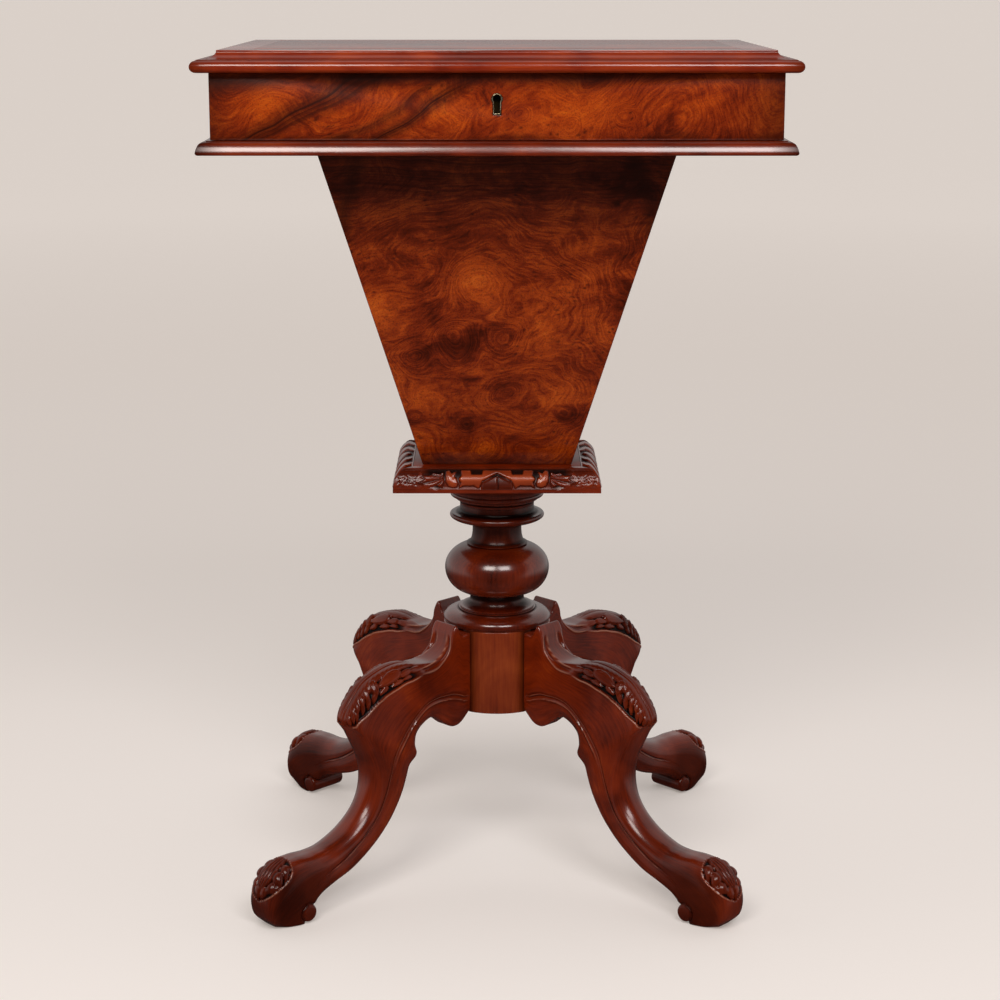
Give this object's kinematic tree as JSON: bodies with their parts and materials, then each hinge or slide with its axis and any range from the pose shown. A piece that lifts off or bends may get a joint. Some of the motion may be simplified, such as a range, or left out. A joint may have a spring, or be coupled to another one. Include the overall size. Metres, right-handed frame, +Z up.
{
  "type": "work table",
  "caption": "Sewing work table: lidded box with fitted compartments round a tapered well, on a turned column with carved scroll legs; the lid is hinged and locks.",
  "frame": {"origin": "middle of the footprint on the floor, under the column", "axes": "+Z up, front with the keyhole towards -Y, +X to the right seen from the front"},
  "size_m": [0.49, 0.3944, 0.74],
  "materials": {
    "burr_walnut": "French polished burr veneer",
    "polished_walnut": "French polished, stained red-brown",
    "inner_wood": "waxed",
    "brass": "aged, polished",
    "steel": "filed"
  },
  "bodies": {
    "table": {"box_front": "burr_walnut", "box_back": "burr_walnut", "box_left": "burr_walnut", "box_right": "burr_walnut", "base_moulding_front": "polished_walnut", "base_moulding_back": "polished_walnut", "base_moulding_left": "polished_walnut", "base_moulding_right": "polished_walnut", "floor_board_front": "inner_wood", "floor_board_back": "inner_wood", "floor_board_left": "inner_wood", "floor_board_right": "inner_wood", "well_wall_front": "inner_wood", "well_wall_back": "inner_wood", "well_wall_left": "inner_wood", "well_wall_right": "inner_wood", "divider_left_1": "inner_wood", "divider_left_2": "inner_wood", "divider_right_1": "inner_wood", "divider_right_2": "inner_wood", "hinge_leaf_box_left": "brass", "hinge_leaf_box_right": "brass", "hinge_pin_left": "brass", "hinge_pin_right": "brass", "lock_case": "brass", "keyhole_escutcheon": "brass", "well_panel_front": "burr_walnut", "well_panel_back": "burr_walnut", "well_panel_left": "burr_walnut", "well_panel_right": "burr_walnut", "well_floor": "inner_wood", "collar_board": "polished_walnut", "collar_moulding_front": "polished_walnut", "collar_moulding_back": "polished_walnut", "collar_moulding_left": "polished_walnut", "collar_moulding_right": "polished_walnut", "column_cap": "polished_walnut", "column_baluster": "polished_walnut", "column_base_ring": "polished_walnut", "leg_block": "polished_walnut", "leg_front_left": "polished_walnut", "leg_front_right": "polished_walnut", "leg_rear_left": "polished_walnut", "leg_rear_right": "polished_walnut"},
    "lid": {"lid_panel": "burr_walnut", "lid_moulding_front": "polished_walnut", "lid_moulding_back": "polished_walnut", "lid_moulding_left": "polished_walnut", "lid_moulding_right": "polished_walnut", "lid_inner_panel": "inner_wood", "hinge_leaf_lid_left": "brass", "hinge_leaf_lid_right": "brass", "lock_link_plate": "brass"},
    "lock_bolt": {"lock_bolt": "steel"}
  },
  "joints": [
    {"name": "lid_hinge", "type": "hinge", "parent": "table", "child": "lid", "pos_m": [0, 0.166, 0.72225], "axis": [-1, 0, 0], "range_deg": [0, 100]},
    {"name": "lock_bolt_slide", "type": "slide", "parent": "table", "child": "lock_bolt", "axis": [1, 0, 0], "range_m": [0, 0.005]}
  ]
}
